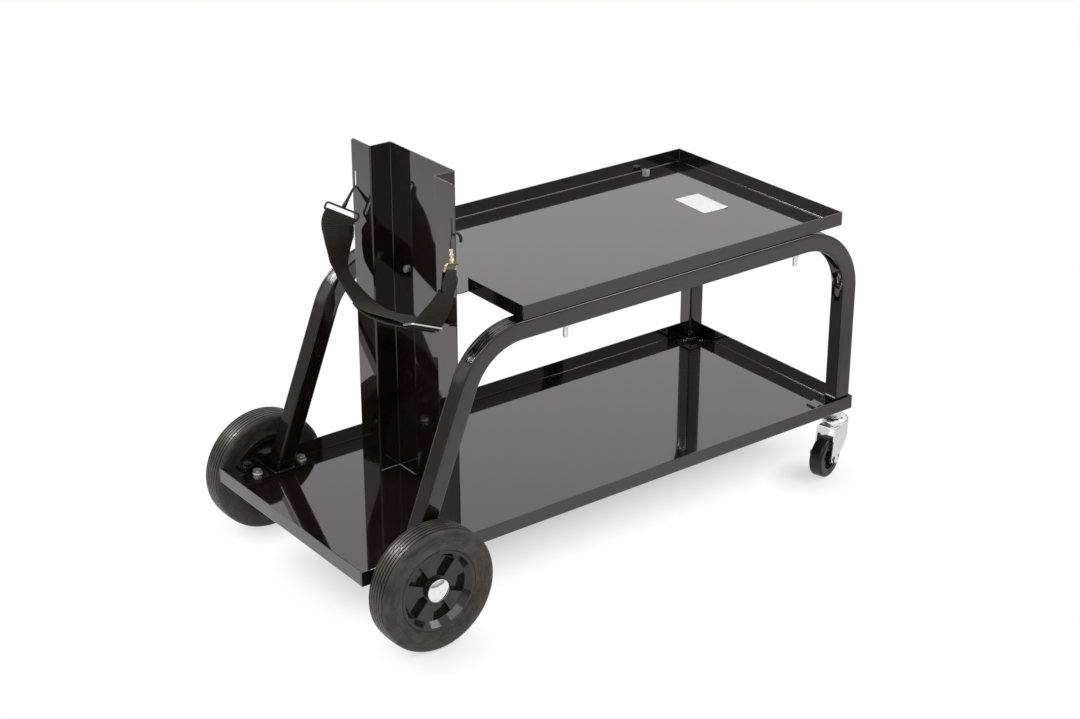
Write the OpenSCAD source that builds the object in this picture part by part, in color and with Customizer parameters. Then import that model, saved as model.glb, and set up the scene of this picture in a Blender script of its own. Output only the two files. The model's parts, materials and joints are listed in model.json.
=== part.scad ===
// Trolley for a welding machine and one gas bottle.
// Origin: on the floor, under the middle of the base tray. +X is the caster end, +Y its left side.

/* [Trays] */
// Length of the base tray
base_l = 1000; // [990:1:1010]
// Width of the base tray
base_w = 418; // [416:0.5:420]
// Height of the base tray's underside above the floor
base_z = 116.5; // [116:0.1:117]
// Height of the base tray's lips
base_lip = 25; // [20:1:30]
// Length of the upper tray
upper_l = 654; // [640:1:660]
// Width of the upper tray
upper_w = 409; // [404:0.5:412]
// Height of the upper tray's underside above the floor
upper_z = 461.5; // [455:0.5:465]
// Height of the upper tray's lips
upper_lip = 24; // [20:1:26]
// Thickness of all folded sheet
sheet = 1.5; // [1.4:0.1:1.6]
// Outer radius of the folds
fold_r = 3; // [2.5:0.1:3.5]

/* [Bottle support] */
// Width between the support's outer edges
support_w = 274; // [268:1:276]
// Width of its web
web_w = 172; // [160:1:174]
// Depth from the flanges' rear face to the web's front face
support_depth = 38.5; // [36:0.5:40]
// Height of its top edge above the floor
support_top = 669.5; // [650:0.5:680]
// Distance of the flanges' rear face behind the tray's middle
support_x = -274; // [-276:0.5:-272]
// Half the distance between the strap slots
slot_y = 129.5; // [128:0.5:130]
// Width of a strap slot
slot_w = 5; // [4.6:0.1:5.4]

/* [Side frames] */
// Width of the square tube
tube = 30; // [29:0.5:31]
// Wall thickness of the tube
tube_wall = 1.5; // [1.2:0.1:2]
// Distance of the tube's centre line from the middle
frame_y = 190.5; // [190:0.1:191]
// Radius of the tube bends, to the centre line
bend_r = 105; // [100:1:110]
// Rake of the rear legs from upright, in degrees
rake = 21.2; // [20:0.1:22]
// Position of the rear feet along the tray
rear_foot_x = -400; // [-402:1:-398]
// Position of the front legs along the tray
front_leg_x = 481; // [480:0.5:481]

/* [Rear wheels] */
// Radius of the rear wheels
wheel_r = 100; // [100:1:100]
// Width of the rear tyres
tyre_w = 48; // [46:1:48]
// Distance of the tyre's middle from the cart's middle
wheel_y = 241.5; // [241:0.5:242]
// Radius of the rear axle
axle_r = 10; // [10:1:10]
// Number of spokes in a rear wheel
spokes = 5; // [4:1:6]

/* [Casters] */
// Radius of the caster wheels
caster_r = 36; // [35:0.5:36.5]
// Width of the caster wheels
caster_w = 24; // [22:1:24]
// Distance of the caster wheel behind its stud
trail = 30; // [28:1:30]
// How far the left caster is swung round, in degrees
left_swing = -12; // [-20:1:20]
// How far the right caster is swung round, in degrees
right_swing = 16.5; // [-20:0.5:20]

/* [Strap] */
// Width of the webbing
webbing_w = 50; // [48:1:50]
// Thickness of the webbing
webbing_t = 2; // [1.6:0.1:2.2]
// Diameter of the hook and ring wire
wire = 3.2; // [3:0.1:3.4]

/* [Hidden] */
$fn = 96;
SIDES = [-1, 1];

powder_black = [0.09, 0.09, 0.10];
zinc = [0.72, 0.73, 0.74];
rubber_black = [0.10, 0.10, 0.10];
rim_black = [0.16, 0.16, 0.17];
black_wire = [0.12, 0.12, 0.12];
brass = [0.80, 0.66, 0.36];

floor_z = base_z + sheet;
upper_floor_z = upper_z + sheet;
plate_t = 3;
foot_z = floor_z + plate_t;
upper_x0 = -201;
upper_mid_x = upper_x0 + upper_l / 2;

// Bottle support
web_x = support_x + support_depth;
tongue_w = 126;
tongue_h = upper_lip;
web_bolt_y = 48;
web_bolt_z = 472.7;
slot_z0 = 590.5;
slot_z1 = 618.5;
tab_l = 30;
tab_w = 80;
tab_bolt_x = web_x + 13.5;
tab_bolt_y = 25;

// Side frames: the bends' centres follow from the tray height and the feet
bend_z = upper_z - tube / 2 - bend_r;
front_bend_x = front_leg_x - bend_r;
leg_run = bend_r * cos(rake) + (bend_z + bend_r * sin(rake) - foot_z) * tan(rake);
rear_bend_x = rear_foot_x + round(leg_run * 100) / 100;
tray_bolt_dx = 237.5;

// Rear running gear
axle_z = wheel_r;
rear_plate_l = 108;
rear_plate_y0 = 172;
plate_y1 = 205.9;
rear_bolt_dx = 41;
rear_bolt_y = 192;
bracket_t = 3;
hub_in = wheel_y - 22;
hub_out = wheel_y + 15;
bush_r = 12.5;
cap_r = 18.5;
cap_y = hub_out + 1.8;
axle_end = cap_y + 3.7;
bead_r = 62;

// Front feet
front_plate_x0 = 447;
front_plate_x1 = 496.8;
front_plate_y0 = 151;
front_bolts = [[456, 177], [480, 159]];

// Casters, measured from the floor
stud_r = 6;
crown_z = 89;
crown_t = 2.5;
dome_z = 95.5;
bell_z = 103.5;
ball_r = 2.5;
ball_ring_r = 15.5;
ball_count = 16;
fork_in = 31;
fork_t = 2.5;
core_r = 24;
caster_bore_r = 6.25;

// Strap ends, right then left: how far each hook's wire curls, the length of its shank, how far it
// swings sideways in its slot, and how its ring is tipped and turned
hook_r = 11;
hook_centre = [support_x + 4, 0, 582];
hook_tip_angle = -30;
hook_curl = [158.9, 146.2];
shank_l = [39.4, 31.7];
hook_swing = [41.2, 2.2];
ring_tip = [24.9, 28.4];
ring_turn = [-56, 53.3];
ring_w = 57;
ring_h = 12;
ring_corner_r = 4;

// ---------------------------------------------------------------- shared shapes

// Points along an arc of radius r about c, from angle a0 to a1 in n steps
function arc(c, r, a0, a1, n) = [
    for (i = [0:n]) let (a = a0 + (a1 - a0) * i / n) c + r * [cos(a), sin(a)]
];

// A length of a section drawn as (Y, Z), laid along X about x = 0
module along_x(l) {
    rotate([90, 0, 90]) linear_extrude(l, center = true) children();
}

// A length of a section drawn as (X, Z), laid along Y about y = 0
module along_y(l) {
    rotate([90, 0, 0]) linear_extrude(l, center = true) children();
}

// A revolved section, drawn as (radius, distance along the axis), turned about Y
module wheel_turn() {
    rotate([-90, 0, 0]) rotate_extrude() children();
}

// Outline of a rectangle with all corners round
module round_rect(w, h, r) {
    square([w, h - 2 * r], center = true);
    square([w - 2 * r, h], center = true);
    for (x = SIDES, y = SIDES)
        translate([x * (w / 2 - r), y * (h / 2 - r)]) circle(r);
}

// Outline of a folded pan: lower corners round, upper corners square
module pan_profile(w, h, r) {
    translate([-w / 2, r]) square([w, h - r]);
    translate([-w / 2 + r, 0]) square([w - 2 * r, r * 2]);
    for (x = SIDES)
        translate([x * (w / 2 - r), r]) circle(r);
}

module pan_block(l, w, h, r) {
    intersection() {
        along_x(l + 2) pan_profile(w, h, r);
        along_y(w + 2) pan_profile(l, h, r);
    }
}

// A tray folded from one sheet, open at the top, with a slit at each corner
module pan(l, w, h) {
    slit = 1.2;
    difference() {
        pan_block(l, w, h, fold_r);
        translate([0, 0, sheet]) pan_block(l - 2 * sheet, w - 2 * sheet, h, fold_r - sheet);
        for (x = SIDES, y = SIDES)
            translate([x * (l / 2 - fold_r / 2), y * (w / 2 - sheet - slit / 2), fold_r + h / 2])
                cube([fold_r + 2 * sheet, slit, h], center = true);
    }
}

// An L section with a folded corner at the origin and legs along +X and +Y
module angle_profile(a, b, t, r) {
    translate([r, 0]) square([a - r, t]);
    translate([0, r]) square([t, b - r]);
    intersection() {
        square(r);
        translate([r, r]) difference() {
            circle(r);
            circle(r - t);
        }
    }
}

// An upright hole through sheet or tube
module hole(x, y, z0, z1, r) {
    translate([x, y, z0]) cylinder(r = r, h = z1 - z0);
}

// A hexagon head or plain nut, standing on z = 0, across flats af
module hex(af, h) {
    intersection() {
        cylinder(r = af / 2 / cos(30), h = h, $fn = 6);
        cylinder(r1 = af / 2 / cos(30) + h - 0.5, r2 = af / 2 - 0.1, h = h + 0.45);
    }
}

// A hexagon bolt: its head stands on z = 0 and its shank hangs below
module hex_bolt(r, af, head_h, l) {
    hex(af, head_h);
    translate([0, 0, 1 - l]) cylinder(r = r, h = l - 0.9);
    translate([0, 0, -l]) cylinder(r1 = r - 1, r2 = r, h = 1);
}

module hex_nut(r, af, h) {
    difference() {
        hex(af, h);
        translate([0, 0, -1]) cylinder(r = r + 0.02, h = h + 2);
    }
}

module ring(r_out, r_in, h) {
    difference() {
        cylinder(r = r_out, h = h);
        translate([0, 0, -1]) cylinder(r = r_in, h = h + 2);
    }
}

// A ring around the wheel axis, from y0 outwards
module axle_ring(side, y0, y1, r_out, r_in) {
    translate([rear_foot_x, side * y0, axle_z]) rotate([-side * 90, 0, 0]) ring(r_out, r_in, y1 - y0);
}

module at_rear_bolts() {
    for (x = SIDES, y = SIDES)
        translate([rear_foot_x + x * rear_bolt_dx, y * rear_bolt_y, 0]) children();
}

module at_front_bolts() {
    for (p = front_bolts, y = SIDES)
        translate([p[0], y * p[1], 0]) children();
}

module at_tray_bolts() {
    for (x = SIDES, y = SIDES)
        translate([upper_mid_x + x * tray_bolt_dx, y * frame_y, 0]) children();
}

module at_studs() {
    for (y = SIDES)
        translate([front_leg_x, y * frame_y, 0]) children();
}

module at_web_bolts() {
    for (y = SIDES)
        translate([web_x, y * web_bolt_y, web_bolt_z]) children();
}

module at_tab_bolts() {
    for (y = SIDES)
        translate([tab_bolt_x, y * tab_bolt_y, 0]) children();
}

// ---------------------------------------------------------------- trays and bottle support

module base_tray() {
    color(powder_black) difference() {
        translate([0, 0, base_z]) pan(base_l, base_w, base_lip);
        at_rear_bolts() hole(0, 0, base_z - 1, floor_z + 1, 4.5);
        at_front_bolts() hole(0, 0, base_z - 1, floor_z + 1, 3.3);
        at_tab_bolts() hole(0, 0, base_z - 1, floor_z + 1, 3.3);
        at_studs() hole(0, 0, base_z - 1, floor_z + 1, stud_r + 0.5);
    }
}

module upper_tray() {
    color(powder_black) difference() {
        union() {
            difference() {
                translate([upper_mid_x, 0, upper_z]) pan(upper_l, upper_w, upper_lip);
                translate([upper_x0, 0, upper_z + upper_lip / 2])
                    cube([2 * fold_r, tongue_w + 3, upper_lip + 2], center = true);
            }
            // The tongue, bent up against the bottle support's web
            translate([0, 0, upper_z]) along_y(tongue_w) translate([web_x, 0])
                angle_profile(upper_x0 + fold_r - web_x, tongue_h, sheet, fold_r);
        }
        at_tray_bolts() hole(0, 0, upper_z - 1, upper_floor_z + 1, 4.5);
        at_web_bolts() rotate([0, 90, 0]) cylinder(r = 3.3, h = 20, center = true);
    }
}

// Half of the support's section, drawn as (X, Y): web, side wall and flange
module support_half() {
    translate([web_x, web_w / 2]) rotate(180)
        angle_profile(support_depth / 2 + 1, web_w / 2, sheet, fold_r);
    translate([support_x, web_w / 2 - sheet])
        angle_profile(support_depth / 2 + 1, (support_w - web_w) / 2 + sheet, sheet, fold_r);
}

module support_outline() {
    h = support_top - floor_z;
    translate([0, floor_z + h / 2 - 10]) square([support_w, h - 20], center = true);
    translate([0, support_top - 20]) round_rect(support_w, 40, 6);
}

module strap_slot() {
    translate([0, (slot_z0 + slot_z1) / 2]) square([slot_w, slot_z1 - slot_z0 - slot_w], center = true);
    for (z = [slot_z0 + slot_w / 2, slot_z1 - slot_w / 2])
        translate([0, z]) circle(slot_w / 2);
}

module bottle_support() {
    color(powder_black) difference() {
        union() {
            difference() {
                intersection() {
                    translate([0, 0, floor_z]) linear_extrude(support_top - floor_z) {
                        support_half();
                        mirror([0, 1]) support_half();
                    }
                    translate([web_x, 0, 0]) along_x(2 * support_depth + 4) support_outline();
                }
                translate([web_x, 0, floor_z])
                    cube([4 * sheet, tab_w + 3, 2 * fold_r], center = true);
            }
            // The foot tab, bent forward on to the tray
            translate([0, 0, floor_z]) along_y(tab_w) translate([web_x - sheet, 0])
                angle_profile(tab_l, fold_r + 4, sheet, fold_r);
        }
        for (y = SIDES)
            translate([support_x, y * slot_y, 0]) along_x(6 * sheet) strap_slot();
        at_web_bolts() rotate([0, 90, 0]) cylinder(r = 3.3, h = 20, center = true);
        at_tab_bolts() hole(0, 0, floor_z - 1, floor_z + 3, 3.3);
    }
}

// ---------------------------------------------------------------- side frames and feet

// The tube's section, with both faces drawn in by trim
module tube_profile(trim = 0) {
    inner = tube - 2 * tube_wall;
    difference() {
        round_rect(tube - 2 * trim, tube - 2 * trim, 3 - trim);
        round_rect(inner + 2 * trim, inner + 2 * trim, 3 - tube_wall + trim);
    }
}

module tube_bend(start, angle) {
    rotate_extrude(angle = angle, start = start) translate([bend_r, 0]) tube_profile();
}

// One bent tube. The raked leg is a hair thinner than the bend and laps into its end.
module side_frame(side) {
    leg_l = 400;
    lap = 0.5;
    thinner = 0.03;
    color(powder_black) difference() {
        translate([0, side * frame_y, 0]) {
            translate([front_leg_x, 0, foot_z]) linear_extrude(bend_z - foot_z) tube_profile();
            translate([front_bend_x, 0, bend_z]) rotate([90, 0, 0]) tube_bend(0, 90);
            translate([(front_bend_x + rear_bend_x) / 2, 0, bend_z + bend_r])
                along_x(front_bend_x - rear_bend_x) tube_profile();
            translate([rear_bend_x, 0, bend_z]) rotate([90, 0, 0]) tube_bend(90, 90 - rake);
            difference() {
                translate([rear_bend_x, 0, bend_z]) rotate([0, rake, 0])
                    translate([-bend_r, 0, -leg_l]) linear_extrude(leg_l + lap) tube_profile(thinner);
                translate([rear_foot_x, 0, foot_z - 150]) cube([300, 2 * tube, 300], center = true);
            }
        }
        at_tray_bolts() hole(0, 0, bend_z, upper_z + 1, 4.5);
    }
}

module plate_outline(l, w) {
    round_rect(l, w, 4);
}

module rear_foot_plate(side) {
    w = plate_y1 - rear_plate_y0;
    color(powder_black) difference() {
        translate([rear_foot_x, side * (rear_plate_y0 + w / 2), floor_z])
            linear_extrude(plate_t) plate_outline(rear_plate_l, w);
        at_rear_bolts() hole(0, 0, floor_z - 1, foot_z + 1, 4.5);
    }
}

module front_foot_plate(side) {
    l = front_plate_x1 - front_plate_x0;
    w = plate_y1 - front_plate_y0;
    color(powder_black) difference() {
        translate([front_plate_x0 + l / 2, side * (front_plate_y0 + w / 2), floor_z])
            linear_extrude(plate_t) plate_outline(l, w);
        at_front_bolts() hole(0, 0, floor_z - 1, foot_z + 1, 3.3);
        at_studs() hole(0, 0, floor_z - 1, foot_z + 1, stud_r + 0.5);
    }
}

// ---------------------------------------------------------------- rear axle and wheels

module rear_axle() {
    color(zinc) translate([rear_foot_x, 0, axle_z]) rotate([90, 0, 0])
        cylinder(r = axle_r, h = 2 * axle_end, center = true);
}

// The ear's outline about the axle: straight flanks run down to a round end
module ear_outline() {
    end_r = 18;
    half = rear_plate_l / 2;
    top = base_z - axle_z;
    edge = top - 9;
    turn = atan2(edge, half) - acos(end_r / norm([half, edge]));
    polygon(concat([[-half, top], [half, top], [half, edge]], arc([0, 0], end_r, turn, -180 - turn, 10),
        [[-half, edge]]));
}

module axle_bracket(side) {
    w = plate_y1 - rear_plate_y0;
    color(powder_black) difference() {
        intersection() {
            translate([rear_foot_x, side * rear_plate_y0, base_z]) along_x(rear_plate_l)
                mirror([side > 0 ? 0 : 1, 0]) mirror([0, 1]) angle_profile(w, 40, bracket_t, fold_r + 1);
            translate([rear_foot_x, side * (rear_plate_y0 + w / 2), axle_z])
                along_y(w + 2) ear_outline();
        }
        translate([rear_foot_x, side * rear_plate_y0, axle_z]) rotate([90, 0, 0])
            cylinder(r = axle_r + 0.02, h = 20, center = true);
        at_rear_bolts() hole(0, 0, base_z - 5, base_z + 1, 4.5);
    }
}

module axle_spacers() {
    color(powder_black) for (side = SIDES)
        axle_ring(side, rear_plate_y0 + bracket_t, hub_in - 1.5, 13, axle_r + 0.05);
}

module axle_washers() {
    color(zinc) for (side = SIDES) {
        axle_ring(side, hub_in - 1.5, hub_in - 0.3, 17, axle_r + 0.1);
        axle_ring(side, hub_out + 0.3, cap_y, 17, axle_r + 0.1);
    }
}

// A domed cap pushed on to the axle's end
module axle_caps() {
    dome_h = 5;
    dome_r = (cap_r * cap_r + dome_h * dome_h) / (2 * dome_h);
    color(zinc) for (side = SIDES)
        translate([rear_foot_x, side * cap_y, axle_z]) rotate([-side * 90, 0, 0]) difference() {
            union() {
                cylinder(r = cap_r, h = 1.6);
                intersection() {
                    translate([0, 0, 1.5 + dome_h - dome_r]) sphere(dome_r);
                    translate([0, 0, 1.5]) cylinder(r = cap_r - 0.8, h = dome_h + 1);
                }
            }
            translate([0, 0, -1]) cylinder(r = axle_r + 0.02, h = axle_end - cap_y + 1);
        }
}

// Half of the tyre's outline above the rim, from crown to bead, as (radius, across).
// The crown, shoulder and side wall are arcs that meet without a corner.
crown_arc_r = 180;
wall_arc_r = 40;
shoulder_r = 8;
wall_centre = [wheel_r - 16, tyre_w / 2 - wall_arc_r];
crown_centre = [wheel_r - crown_arc_r, 0];
shoulder_turn = 13.26;
shoulder_centre = wall_centre + (wall_arc_r - shoulder_r) * [sin(shoulder_turn), cos(shoulder_turn)];

crown_turn = atan2(shoulder_centre[1], shoulder_centre[0] - crown_centre[0]);
wall_end = -asin((wheel_r - 16 - bead_r - 4) / wall_arc_r);
tyre_half = concat(
    arc(crown_centre, crown_arc_r, 0, crown_turn, 4),
    arc(shoulder_centre, shoulder_r, crown_turn + 12, 90 - shoulder_turn - 12, 6),
    arc(wall_centre, wall_arc_r, 90 - shoulder_turn, 90 - wall_end, 10)
);

function across(points) = [for (p = points) [p[0], -p[1]]];
function backwards(points) = [for (i = [len(points) - 1:-1:0]) points[i]];

module tyre_outline() {
    groove_w = 1.8;
    groove_depth = 2;
    groove_pitch = 6.2;
    bead_half = 18;
    difference() {
        polygon(concat(tyre_half, [[bead_r + 4, bead_half], [bead_r, bead_half], [bead_r, -bead_half],
            [bead_r + 4, -bead_half]], backwards(across(tyre_half))));
        for (k = [-2.5:2.5])
            translate([wheel_r, k * groove_pitch]) square([2 * groove_depth, groove_w], center = true);
    }
}

module rear_tyre(side) {
    color(rubber_black) translate([rear_foot_x, side * wheel_y, axle_z]) wheel_turn() tyre_outline();
}

// Outline of the hollow between two spokes about +X, with round corners of radius r
function window_outline(r_in, r_out, half_angle, r) = let (
    inner = r_in + r,
    outer = r_out - r,
    turn_in = half_angle - asin(r / inner),
    turn_out = half_angle - asin(r / outer),
    side = 90 + half_angle
) concat(
    arc([0, 0], r_out, -turn_out, turn_out, 6),
    arc(outer * [cos(turn_out), sin(turn_out)], r, turn_out + 22, side, 3),
    arc(inner * [cos(turn_in), sin(turn_in)], r, side, turn_in + 158, 3),
    arc([0, 0], r_in, turn_in, -turn_in, 3),
    arc(inner * [cos(turn_in), -sin(turn_in)], r, 202 - turn_in, 360 - side, 3),
    arc(outer * [cos(turn_out), -sin(turn_out)], r, 360 - side, 338 - turn_out, 3)
);

// The moulded rim: flanges that hold the bead, a drum, a dished face, a disc with hollows and a hub.
// The outline is drawn as (radius, distance outwards), from the hub's inner end round to its outer end.
module rim_section() {
    drum_r = bead_r - 4;
    flange_r = 65.6;
    flange_s = 18.2;
    tip = 1;
    disc = [-1.5, 10.5];
    hub_r = 17;
    bore = bush_r + 0.02;
    polygon(concat(
        [[bore, hub_in - wheel_y], [hub_r, hub_in - wheel_y], [hub_r, disc[0]], [53.5, disc[0]],
            [drum_r, disc[0] + 7.5], [drum_r, -flange_s - 2 * tip]],
        arc([flange_r - tip, -flange_s - tip], tip, -90, 90, 6),
        [[bead_r, -flange_s], [bead_r, flange_s]],
        arc([flange_r - tip, flange_s + tip], tip, -90, 90, 6),
        [[60.5, flange_s + 2 * tip], [53, disc[1]], [hub_r, disc[1]], [hub_r, hub_out - wheel_y],
            [bore, hub_out - wheel_y]]
    ));
}

module rear_rim(side) {
    window_phase = 66;
    color(rim_black) translate([rear_foot_x, side * wheel_y, axle_z]) rotate([-side * 90, 0, 0])
        difference() {
            rotate_extrude() rim_section();
            for (k = [0:spokes - 1])
                rotate(-side * (window_phase + k * 360 / spokes)) translate([0, 0, 1])
                    linear_extrude(12) polygon(window_outline(21, 52.5, 90 / spokes, 1.2));
        }
}

module rear_bush(side) {
    color(zinc) axle_ring(side, hub_in, hub_out, bush_r, axle_r + 0.04);
}

// ---------------------------------------------------------------- casters

// Places a caster's swivelling parts: its wheel trails towards -X before it is swung round
module at_caster(side) {
    translate([front_leg_x, side * frame_y, 0]) rotate([0, 0, side > 0 ? left_swing : right_swing])
        children();
}

module at_caster_axle(side) {
    at_caster(side) translate([-trail, 0, caster_r]) children();
}

module caster_studs() {
    color(zinc) at_studs() {
        translate([0, 0, crown_z - 4]) cylinder(r = 9, h = 3.7);
        translate([0, 0, crown_z - 1]) cylinder(r = stud_r, h = 49);
    }
}

module caster_bells() {
    color(zinc) at_studs() rotate_extrude()
        polygon([
            [23, 93], [23, 97.5], [22, 99.6], [20, 101.5], [17.6, 102.9], [15, bell_z],
            [stud_r + 0.02, bell_z], [stud_r + 0.02, bell_z - 2], [14.6, bell_z - 2],
            [17, 100.9], [19, 99.5], [20.5, 98], [21.2, 96.5], [21.2, 93]
        ]);
}

module caster_balls(side) {
    color(zinc) at_caster(side) for (k = [0:ball_count - 1])
        rotate(k * 360 / ball_count) translate([ball_ring_r, 0, dome_z + 0.05 + ball_r]) sphere(ball_r);
}

// The fork seen from the front: a folded crown and two legs, drawn as (Y, Z)
module fork_section() {
    out = fork_in / 2 + fork_t;
    for (s = SIDES)
        mirror([s > 0 ? 0 : 1, 0]) translate([out, crown_z + crown_t]) rotate(180)
            angle_profile(out, 70, fork_t, fork_t + 1.2);
}

// The fork seen from the side: legs taper from the crown to the wheel's axle
module fork_side() {
    end_r = 8.5;
    top = crown_z + crown_t - caster_r;
    function tangent(p, s) = atan2(p[1], p[0]) + s * acos(end_r / norm(p));
    front = [trail + 21, top - 12];
    knee = [trail + 5, 14];
    back = [trail - 30, top - 6];
    knee_turn = tangent(knee, -1);
    back_turn = tangent(back, 1);
    polygon(concat([knee, front, [front[0], top], [back[0], top], back],
        arc([0, 0], end_r, back_turn, 360 + knee_turn, 12)));
}

module caster_fork(side) {
    color(zinc) at_caster(side) difference() {
        union() {
            intersection() {
                along_x(200) fork_section();
                translate([-trail, 0, caster_r]) along_y(100) fork_side();
                translate([0, 0, 20]) linear_extrude(80) {
                    circle(23);
                    translate([-35, 0]) square([70, 60], center = true);
                }
            }
            // Lower ball race, pressed up out of the crown
            rotate_extrude() polygon([
                [stud_r + 0.05, crown_z], [21, crown_z], [21, 92.3], [20.6, 94], [19.4, 95.1],
                [17.8, dome_z], [stud_r + 0.05, dome_z]
            ]);
        }
        translate([0, 0, crown_z - 1]) cylinder(r = stud_r + 0.05, h = 20);
        translate([-trail, 0, caster_r]) rotate([90, 0, 0]) cylinder(r = 4.05, h = 100, center = true);
    }
}

module caster_tyre(side) {
    round_r = 5;
    color(rubber_black) at_caster_axle(side) wheel_turn() {
        translate([core_r, -caster_w / 2]) square([caster_r - core_r - round_r, caster_w]);
        translate([core_r, -caster_w / 2 + round_r]) square([caster_r - core_r, caster_w - 2 * round_r]);
        for (s = SIDES)
            translate([caster_r - round_r, s * (caster_w / 2 - round_r)]) circle(round_r);
    }
}

module caster_core(side) {
    color(rubber_black) at_caster_axle(side) wheel_turn() {
        hub_r = 10;
        web_half = 4;
        translate([caster_bore_r, -14]) square([hub_r - caster_bore_r, 28]);
        translate([hub_r - 1, -web_half]) square([core_r - hub_r, 2 * web_half]);
        translate([core_r - 3, -caster_w / 2 + 1]) square([3, caster_w - 2]);
    }
}

module caster_bush(side) {
    color(zinc) at_caster_axle(side) rotate([90, 0, 0]) translate([0, 0, -fork_in / 2])
        ring(caster_bore_r - 0.05, 4.05, fork_in);
}

module caster_bolt(side) {
    out = fork_in / 2 + fork_t;
    color(zinc) at_caster_axle(side) rotate([-side * 90, 0, 0]) translate([0, 0, out])
        hex_bolt(4, 13, 5.3, 2 * out + 10);
}

module caster_nut(side) {
    out = fork_in / 2 + fork_t;
    color(zinc) at_caster_axle(side) rotate([side * 90, 0, 0]) translate([0, 0, out]) hex_nut(4, 13, 7.5);
}

// ---------------------------------------------------------------- fasteners

module stud_nuts() {
    color(zinc) at_studs() translate([0, 0, foot_z]) hex_nut(stud_r, 19, 10);
}

module stud_jam_nuts() {
    color(zinc) at_studs() translate([0, 0, bell_z]) hex_nut(stud_r, 19, 10);
}

module stud_washers() {
    color(zinc) at_studs() translate([0, 0, bell_z + 10]) ring(12, stud_r + 0.2, base_z - bell_z - 10);
}

module rear_foot_bolts() {
    color(zinc) at_rear_bolts() translate([0, 0, foot_z + 1.6]) hex_bolt(4, 13, 5.3, 25);
}

module rear_foot_washers() {
    color(zinc) at_rear_bolts() translate([0, 0, foot_z]) ring(8.5, 4.2, 1.6);
}

module rear_foot_nuts() {
    color(zinc) at_rear_bolts() translate([0, 0, base_z - bracket_t]) mirror([0, 0, 1]) hex_nut(4, 13, 6.5);
}

module tray_bolts() {
    color(zinc) at_tray_bolts() translate([0, 0, upper_floor_z]) hex_bolt(4, 13, 5.3, 55);
}

module tray_nuts() {
    color(zinc) at_tray_bolts() translate([0, 0, upper_z - tube]) mirror([0, 0, 1]) hex_nut(4, 13, 6.5);
}

module support_bolts() {
    color(zinc) at_web_bolts() translate([-sheet, 0, 0]) rotate([0, -90, 0]) hex_bolt(3, 10, 4, 14);
}

module support_nuts() {
    color(zinc) at_web_bolts() translate([sheet, 0, 0]) rotate([0, 90, 0]) hex_nut(3, 10, 5);
}

module support_foot_bolts() {
    color(zinc) at_tab_bolts() translate([0, 0, floor_z + sheet]) hex_bolt(3, 10, 4, 14);
}

module support_foot_nuts() {
    color(zinc) at_tab_bolts() translate([0, 0, base_z]) mirror([0, 0, 1]) hex_nut(3, 10, 5);
}

// Round-head bolts on the front feet
module front_foot_bolts() {
    head_r = 4.5;
    head_h = 2.6;
    ball = (head_r * head_r + head_h * head_h) / (2 * head_h);
    color(black_wire) at_front_bolts() translate([0, 0, foot_z]) {
        intersection() {
            translate([0, 0, head_h - ball]) sphere(ball);
            cylinder(r = head_r, h = head_h + 1);
        }
        translate([0, 0, -14]) cylinder(r = 3, h = 14.5);
    }
}

module front_foot_nuts() {
    color(zinc) at_front_bolts() translate([0, 0, base_z]) mirror([0, 0, 1]) hex_nut(3, 10, 5);
}

// ---------------------------------------------------------------- bottle strap

function end_of(list, side) = list[side > 0 ? 1 : 0];

// The end of a hook's shank, after the hook has swung about the top of its curl
function eye_at(side) = let (
    curl = end_of(hook_curl, side),
    swing = end_of(hook_swing, side),
    drop = hook_r - hook_r * sin(curl) - end_of(shank_l, side) * cos(curl)
) [
    hook_centre[0] + hook_r * cos(curl) - end_of(shank_l, side) * sin(curl),
    side * (slot_y + drop * sin(swing)),
    hook_centre[2] + hook_r - drop * cos(swing)
];

// Frame of a hook's shank: z = 0 at the end of the curl, -Z down the shank
module at_shank(side) {
    curl = end_of(hook_curl, side);
    translate([0, side * slot_y, hook_centre[2] + hook_r]) rotate([side * end_of(hook_swing, side), 0, 0])
        translate([hook_centre[0] + hook_r * cos(curl), 0, hook_r * sin(curl) - hook_r])
            rotate([0, 180 - curl, 0]) children();
}

module at_ring(side) {
    translate(eye_at(side)) rotate([0, end_of(ring_tip, side), 0]) rotate([0, 0, end_of(ring_turn, side)])
        children();
}

module strap_hook(side) {
    sweep = end_of(hook_curl, side) - hook_tip_angle;
    shank = end_of(shank_l, side);
    eye_r = 3.8;
    color(black_wire) difference() {
        union() {
            at_shank(side) {
                translate([hook_r, 0, 0]) {
                    rotate([90, 0, 0]) rotate_extrude(angle = sweep, start = 180 - sweep)
                        translate([hook_r, 0]) circle(wire / 2);
                    translate(hook_r * [cos(180 - sweep), 0, sin(180 - sweep)]) sphere(wire / 2 + 0.1);
                }
                translate([0, 0, -shank]) cylinder(r = wire / 2, h = shank);
            }
            at_ring(side) rotate([90, 0, 0]) cylinder(r = eye_r, h = 8, center = true);
        }
        at_ring(side) rotate([90, 0, 0]) cylinder(r = wire / 2 + 0.15, h = 20, center = true);
    }
}

// A rectangular loop of wire in the YZ plane, its upper bar at the origin
module wire_loop(w, h, r) {
    half_w = w / 2 - wire / 2;
    for (s = SIDES) {
        translate([0, 0, -h / 2 + s * h / 2]) rotate([90, 0, 0])
            cylinder(r = wire / 2, h = 2 * (half_w - r), center = true);
        translate([0, s * half_w, -h / 2]) cylinder(r = wire / 2, h = h - 2 * r, center = true);
        for (v = SIDES)
            translate([0, s * (half_w - r), -h / 2 + v * (h / 2 - r)])
                rotate([90 - s * 90, 0, 0]) rotate([0, 90, 0]) rotate([0, 0, v * s > 0 ? 90 : 0])
                    rotate_extrude(angle = 90) translate([r, 0]) circle(wire / 2);
    }
}

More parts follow.
